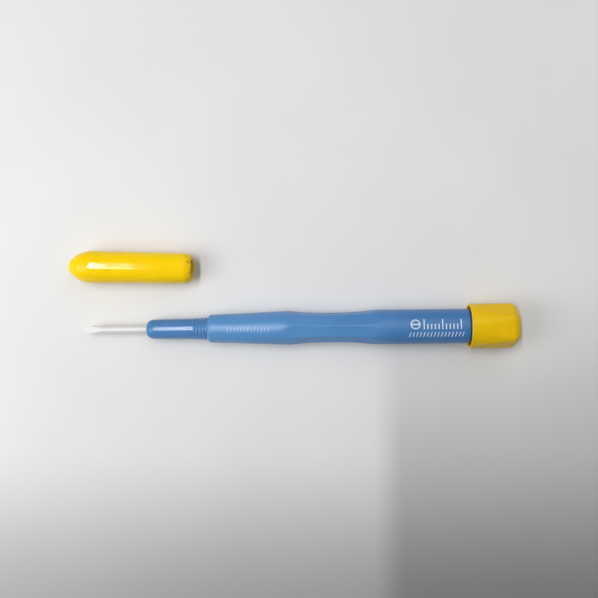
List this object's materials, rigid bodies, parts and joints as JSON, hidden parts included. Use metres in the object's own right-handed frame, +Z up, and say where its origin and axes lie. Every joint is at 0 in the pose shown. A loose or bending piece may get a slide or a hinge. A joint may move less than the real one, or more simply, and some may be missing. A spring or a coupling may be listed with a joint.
{
  "type": "ceramic trimmer screwdriver",
  "caption": "Slim plastic adjusting screwdriver with a white ceramic slotted blade, a swivelling finger cap and a loose pull-off blade cover beside it.",
  "frame": {"origin": "on the table, at the centre of the tool and its cover seen from above", "axes": "+X along the tool from the blade to the swivel cap, +Z up from the table, +Y from the tool to the cover"},
  "size_m": [0.107, 0.0244, 0.0109],
  "materials": {
    "zirconia": "ground, semi-gloss",
    "nose_blue": "gloss",
    "handle_blue": "satin",
    "steel": "turned",
    "acetal": "smooth",
    "cap_yellow": "semi-gloss",
    "cover_yellow": "wet-looking gloss, soft vinyl"
  },
  "bodies": {
    "tool": {"handle": "handle_blue", "blade_holder": "nose_blue", "ceramic_blade": "zirconia", "swivel_pin": "steel", "thrust_washer": "acetal"},
    "cap": {"swivel_cap": "cap_yellow", "cap_plug": "cap_yellow"},
    "cover": {"blade_cover": "cover_yellow"}
  },
  "joints": [
    {"name": "swivel_turn", "type": "hinge", "parent": "tool", "child": "cap", "pos_m": [0.04193, -0.00677, 0.00548], "axis": [0.9995, 0, 0.0317], "continuous": true},
    {"name": "cover_slide", "type": "slide", "parent": "tool", "child": "cover", "axis": [-0.9997, 0.0244, 0.0052], "range_m": [0, 0.0275]}
  ]
}
